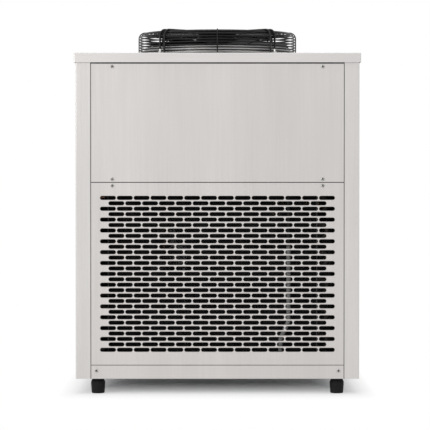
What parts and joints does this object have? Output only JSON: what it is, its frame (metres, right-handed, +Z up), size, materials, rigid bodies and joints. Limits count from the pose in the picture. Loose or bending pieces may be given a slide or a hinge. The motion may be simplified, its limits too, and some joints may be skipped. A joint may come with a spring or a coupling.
{
  "type": "water chiller",
  "caption": "Air-cooled water chiller: a sheet-steel cabinet on rubber feet with a slotted air-inlet grille in front and an axial fan under a wire basket on top.",
  "frame": {"origin": "middle of the cabinet's footprint, on the floor and under the fan's axis", "axes": "+Z up, -Y out of the grilled front, +X to the right seen from the front"},
  "size_m": [0.6618, 0.557, 0.8454],
  "materials": {
    "stainless_panel": "brushed stainless-steel sheet, satin",
    "galvanised_sheet": "galvanised steel sheet, dull",
    "rail_paint": "dark grey paint, matt",
    "zinc_fixing": "zinc-plated steel, bright",
    "black_wire": "black powder-coated wire",
    "fan_black": "black paint, satin",
    "foot_rubber": "moulded black rubber, matt",
    "fin_aluminium": "thin aluminium fins",
    "copper_tube": "drawn copper tube, dull",
    "line_paint": "grey paint over copper tube",
    "insulation_foam": "black foam insulation over copper",
    "compressor_paint": "black enamel",
    "stainless_vessel": "stainless steel, as rolled",
    "pump_casting": "grey-blue enamel",
    "brass_fitting": "turned brass",
    "hose_rubber": "black rubber hose",
    "black_plastic": "moulded black plastic",
    "grey_key": "moulded grey plastic",
    "display_window": "dark tinted window"
  },
  "bodies": {
    "cabinet": {"left_side_panel": "stainless_panel", "right_side_panel": "stainless_panel", "front_grille_panel": "stainless_panel", "front_upper_panel": "stainless_panel", "front_kick_strip": "stainless_panel", "back_upper_panel": "stainless_panel", "back_lower_panel": "stainless_panel", "top_lid": "stainless_panel", "base_tray": "galvanised_sheet", "fan_collar": "galvanised_sheet", "condenser_left_plate": "galvanised_sheet", "condenser_right_plate": "galvanised_sheet", "exchanger_stand": "galvanised_sheet", "electrical_box": "galvanised_sheet", "front_top_rail": "rail_paint", "front_middle_rail": "rail_paint", "back_top_rail": "rail_paint", "back_middle_rail": "rail_paint", "pan_head_screws": "zinc_fixing", "guard_studs": "zinc_fixing", "guard_nuts": "zinc_fixing", "mounting_bolts": "zinc_fixing", "fan_guard": "black_wire", "fan_motor_stator": "fan_black", "rubber_feet": "foot_rubber", "compressor_grommets": "foot_rubber", "condenser_fins": "fin_aluminium", "condenser_tubes": "copper_tube", "discharge_line": "copper_tube", "liquid_line": "line_paint", "suction_line": "insulation_foam", "compressor": "compressor_paint", "filter_drier": "compressor_paint", "terminal_cover": "compressor_paint", "water_tank": "stainless_vessel", "tank_lid": "stainless_vessel", "plate_exchanger": "stainless_vessel", "pump_volute": "pump_casting", "pump_motor": "pump_casting", "water_outlet_port": "brass_fitting", "water_inlet_port": "brass_fitting", "water_drain_port": "brass_fitting", "port_nuts": "brass_fitting", "expansion_valve": "brass_fitting", "pump_suction_hose": "hose_rubber", "pump_delivery_hose": "hose_rubber", "supply_hose": "hose_rubber", "return_hose": "hose_rubber", "drain_hose": "hose_rubber", "cable_bush": "black_plastic", "controller_case": "black_plastic", "switch_frame": "black_plastic", "controller_window": "display_window"},
    "fan": {"fan_rotor": "fan_black", "fan_impeller": "fan_black"},
    "switch_rocker": {"rocker": "black_plastic"},
    "upper_left_key": {"key_upper_left": "grey_key"},
    "upper_right_key": {"key_upper_right": "grey_key"},
    "lower_left_key": {"key_lower_left": "grey_key"},
    "lower_right_key": {"key_lower_right": "grey_key"}
  },
  "joints": [
    {"name": "fan_spin", "type": "hinge", "parent": "cabinet", "child": "fan", "pos_m": [0, 0, 0.8], "axis": [0, 0, 1], "continuous": true},
    {"name": "rocker_tip", "type": "hinge", "parent": "cabinet", "child": "switch_rocker", "pos_m": [0.06, 0.2718, 0.66], "axis": [1, 0, 0], "range_deg": [0, 16]},
    {"name": "upper_left_key_press", "type": "slide", "parent": "cabinet", "child": "upper_left_key", "axis": [0, -1, 0], "range_m": [0, 0.0006], "stiffness_N_per_m": 1000},
    {"name": "upper_right_key_press", "type": "slide", "parent": "cabinet", "child": "upper_right_key", "axis": [0, -1, 0], "range_m": [0, 0.0006], "stiffness_N_per_m": 1000},
    {"name": "lower_left_key_press", "type": "slide", "parent": "cabinet", "child": "lower_left_key", "axis": [0, -1, 0], "range_m": [0, 0.0006], "stiffness_N_per_m": 1000},
    {"name": "lower_right_key_press", "type": "slide", "parent": "cabinet", "child": "lower_right_key", "axis": [0, -1, 0], "range_m": [0, 0.0006], "stiffness_N_per_m": 1000}
  ]
}
